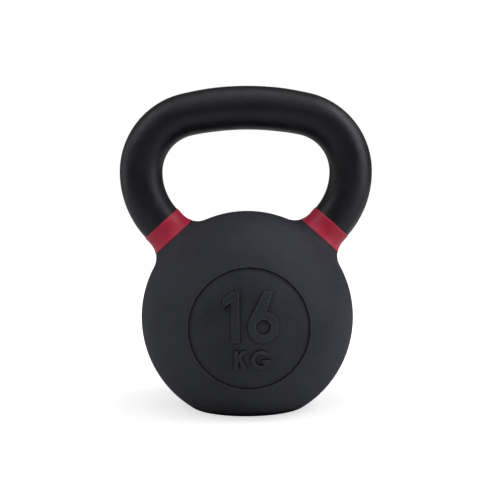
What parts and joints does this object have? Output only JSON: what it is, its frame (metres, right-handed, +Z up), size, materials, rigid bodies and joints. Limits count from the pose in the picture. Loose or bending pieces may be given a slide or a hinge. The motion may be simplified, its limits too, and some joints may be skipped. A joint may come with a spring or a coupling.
{
  "type": "kettlebell",
  "caption": "Cast iron kettlebell with a round flat-footed bell, a closed arched handle, coloured horn bands and a recessed front disc.",
  "frame": {"origin": "middle of the flat foot, on the floor", "axes": "+Z up, +X along the grip to the right as the recessed disc is faced, and the disc faces -Y"},
  "size_m": [0.184, 0.155, 0.2337],
  "materials": {
    "black_coat": "fine-grained matte black powder coat",
    "red_band": "satin crimson enamel"
  },
  "bodies": {
    "root": {"bell": "black_coat", "handle": "black_coat", "left_band": "red_band", "right_band": "red_band"}
  },
  "joints": []
}
